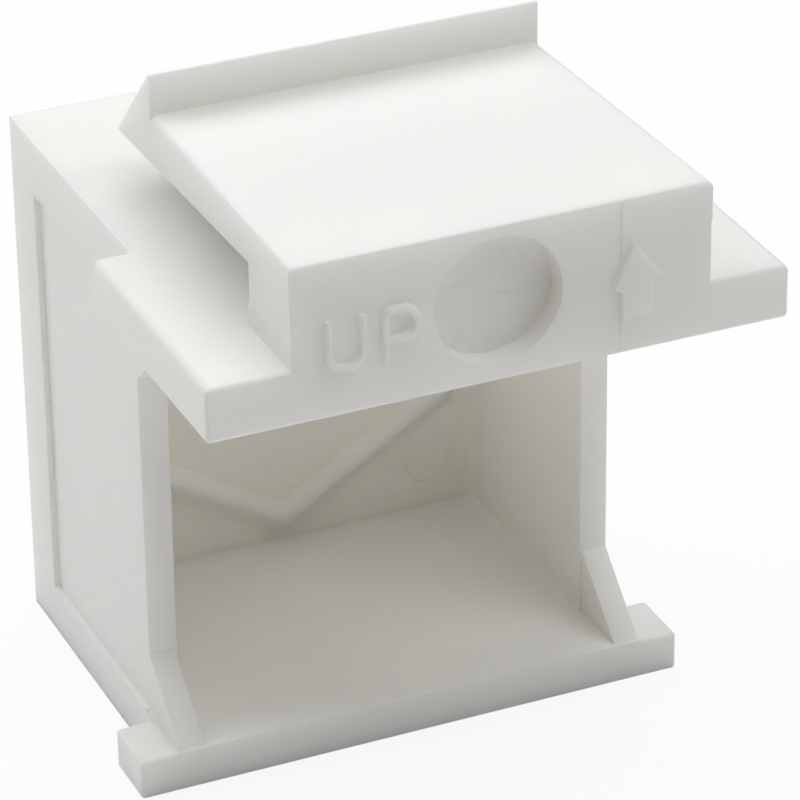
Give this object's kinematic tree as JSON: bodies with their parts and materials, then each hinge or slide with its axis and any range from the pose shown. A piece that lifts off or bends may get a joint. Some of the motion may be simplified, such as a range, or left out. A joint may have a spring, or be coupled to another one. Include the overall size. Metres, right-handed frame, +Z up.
{
  "type": "keystone blank insert",
  "caption": "Open-backed white plastic block with a flexing top latch and side shoulders, which clips into a keystone opening to close it.",
  "frame": {"origin": "centre of the flat blank face at the front, which closes the opening", "axes": "+Y into the opening, out of the blank face; +Z up, the latch's side; +X to the right seen from the open back"},
  "size_m": [0.0166, 0.0176, 0.0199],
  "materials": {
    "body": "fine satin of a white moulding, lightly textured by the mould"
  },
  "bodies": {
    "root": {"blankInsert": "body"}
  },
  "joints": []
}
